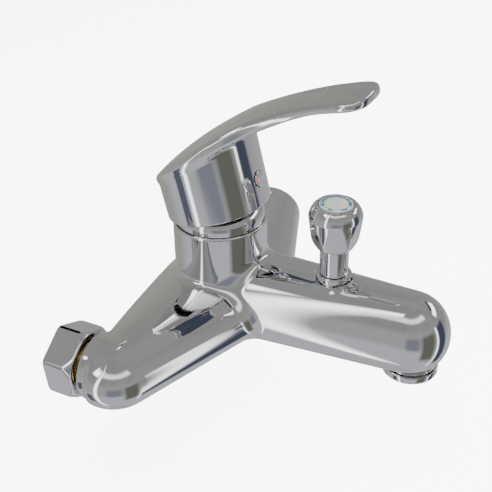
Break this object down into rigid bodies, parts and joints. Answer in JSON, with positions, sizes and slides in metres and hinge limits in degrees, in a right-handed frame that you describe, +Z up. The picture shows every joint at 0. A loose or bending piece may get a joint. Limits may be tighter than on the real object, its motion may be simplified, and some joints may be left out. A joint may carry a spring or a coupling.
{
  "type": "wall mounted single-lever bath and shower mixer",
  "caption": "Chromed wall mounted single-lever bath mixer with union nuts, spout, pull-up diverter knob and a threaded shower outlet underneath.",
  "frame": {"origin": "midway between the two inlets, in the plane of the union nuts' wall ends", "axes": "+Z up, +X to the right along the wall as seen from the room, -Y out into the room along the spout"},
  "size_m": [0.1882, 0.1537, 0.1505],
  "materials": {
    "chrome": "polished chrome plating over cast or turned brass, mirror bright",
    "brass": "turned brass, unplated",
    "stainless_steel": "stainless steel, drawn and stamped",
    "rubber": "black moulded rubber seals",
    "acetal": "white moulded acetal plastic",
    "ceramic": "ground alumina ceramic",
    "insert_disc": "pale grey-green domed plastic disc",
    "printed_ring": "clear plastic ring with a plain blue and green ring printed under it",
    "red_enamel": "red enamel dot",
    "blue_enamel": "blue enamel dot"
  },
  "bodies": {
    "root": {"body_casting": "chrome", "inlet_nipple_left": "brass", "inlet_nipple_right": "brass", "inlet_washer_left": "rubber", "inlet_washer_right": "rubber", "inlet_strainer_left": "stainless_steel", "inlet_strainer_right": "stainless_steel", "cartridge_base": "acetal", "port_seal_hot": "rubber", "port_seal_cold": "rubber", "port_seal_mixed": "rubber", "fixed_ceramic_disc": "ceramic", "cartridge_housing": "acetal", "cartridge_nut": "brass", "dome_ring": "chrome", "diverter_bonnet": "chrome", "diverter_seat": "brass", "aerator_housing": "chrome", "aerator_insert": "acetal", "aerator_screen": "stainless_steel", "aerator_washer": "rubber", "shower_nipple": "chrome", "shower_nipple_washer": "rubber"},
    "rotor": {"cartridge_rotor": "acetal", "spindle_pivot_pin": "stainless_steel"},
    "lever": {"cartridge_spindle": "stainless_steel", "handle": "chrome", "handle_screw": "stainless_steel", "index_button": "chrome", "index_red_mark": "red_enamel", "index_blue_mark": "blue_enamel"},
    "disc": {"moving_ceramic_disc": "ceramic", "disc_carrier": "acetal"},
    "diverter_lift": {"spring_follower": "stainless_steel", "diverter_spring": "stainless_steel"},
    "knob": {"diverter_stem": "brass", "diverter_valve_washer": "rubber", "diverter_knob": "chrome", "knob_screw": "stainless_steel", "knob_insert_ring": "printed_ring", "knob_insert_disc": "insert_disc"},
    "nut_left": {"union_nut_left": "chrome"},
    "nut_right": {"union_nut_right": "chrome"}
  },
  "joints": [
    {"name": "handle_yaw", "type": "hinge", "parent": "root", "child": "rotor", "pos_m": [0, -0.0402, 0.03], "axis": [0, 0, 1], "range_deg": [-50, 50]},
    {"name": "handle_lift", "type": "hinge", "parent": "rotor", "child": "lever", "pos_m": [0, -0.0402, 0.03], "axis": [-1, 0, 0], "range_deg": [0, 22]},
    {"name": "disc_slide", "type": "slide", "parent": "rotor", "child": "disc", "axis": [0, -1, 0], "range_m": [0, 0.0041]},
    {"name": "diverter_pull", "type": "slide", "parent": "root", "child": "diverter_lift", "axis": [0, 0, 1], "range_m": [0, 0.008], "stiffness_N_per_m": 60, "springref_m": -0.004, "deforming": ["diverter_spring"]},
    {"name": "diverter_turn", "type": "hinge", "parent": "diverter_lift", "child": "knob", "pos_m": [0, -0.098, 0], "axis": [0, 0, 1], "continuous": true},
    {"name": "nut_left_turn", "type": "hinge", "parent": "root", "child": "nut_left", "pos_m": [-0.075, 0, 0], "axis": [0, 1, 0], "continuous": true},
    {"name": "nut_right_turn", "type": "hinge", "parent": "root", "child": "nut_right", "pos_m": [0.075, 0, 0], "axis": [0, 1, 0], "continuous": true}
  ],
  "couplings": [
    {"joint": "disc_slide", "follows": "handle_lift", "m_per_rad": 0.0102}
  ]
}
